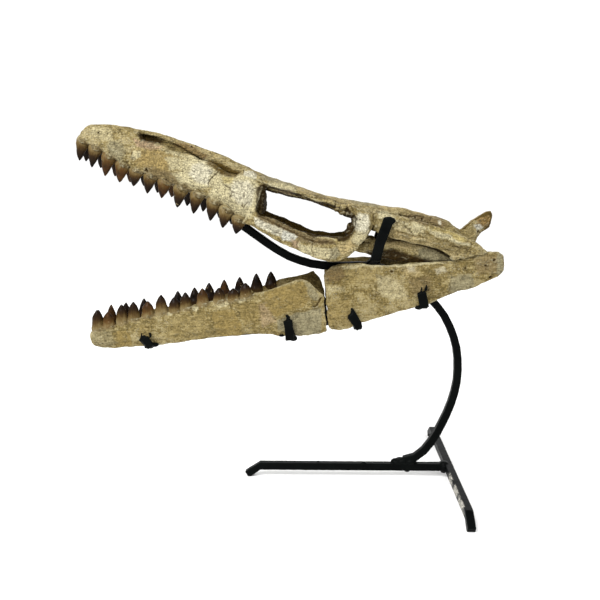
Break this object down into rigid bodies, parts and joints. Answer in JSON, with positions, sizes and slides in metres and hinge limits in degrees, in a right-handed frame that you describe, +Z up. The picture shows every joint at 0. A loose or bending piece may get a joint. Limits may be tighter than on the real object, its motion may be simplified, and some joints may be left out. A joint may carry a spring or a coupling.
{
  "type": "fossil skull on a stand",
  "caption": "Fossil mosasaur skull with open toothed jaws, held by straps and clamps on a curved bar stand with a T-shaped base.",
  "frame": {"origin": "on the floor under the middle of the model's length and width", "axes": "+X from the snout back to the rear of the skull, +Y towards the animal's right side, +Z up"},
  "size_m": [0.4887, 0.3086, 0.428],
  "materials": {
    "tan_bone": "matte",
    "pale_bone": "matte",
    "brown_bone": "matte",
    "black_paint": "satin"
  },
  "bodies": {
    "root": {"premaxilla": "tan_bone", "frontal": "tan_bone", "parietal": "brown_bone", "braincase": "brown_bone", "occipital_process": "brown_bone", "maxilla_left": "tan_bone", "squamosal_left": "tan_bone", "quadrate_left": "tan_bone", "dentary_left": "tan_bone", "articular_left": "tan_bone", "prefrontal_left": "pale_bone", "jugal_left": "pale_bone", "postorbital_left": "pale_bone", "temporal_arch_left": "brown_bone", "pterygoid_left": "brown_bone", "surangular_left": "brown_bone", "stand_clamp_left": "black_paint", "maxilla_right": "tan_bone", "squamosal_right": "tan_bone", "quadrate_right": "tan_bone", "dentary_right": "tan_bone", "articular_right": "tan_bone", "prefrontal_right": "pale_bone", "jugal_right": "pale_bone", "postorbital_right": "pale_bone", "temporal_arch_right": "brown_bone", "pterygoid_right": "brown_bone", "surangular_right": "brown_bone", "stand_clamp_right": "black_paint", "stand_jaw_strap_1": "black_paint", "stand_jaw_strap_2": "black_paint", "stand_jaw_strap_3": "black_paint", "stand_jaw_strap_4": "black_paint", "stand_long_bar": "black_paint", "stand_cross_bar": "black_paint", "stand_post": "black_paint", "stand_jaw_rail": "black_paint"}
  },
  "joints": []
}
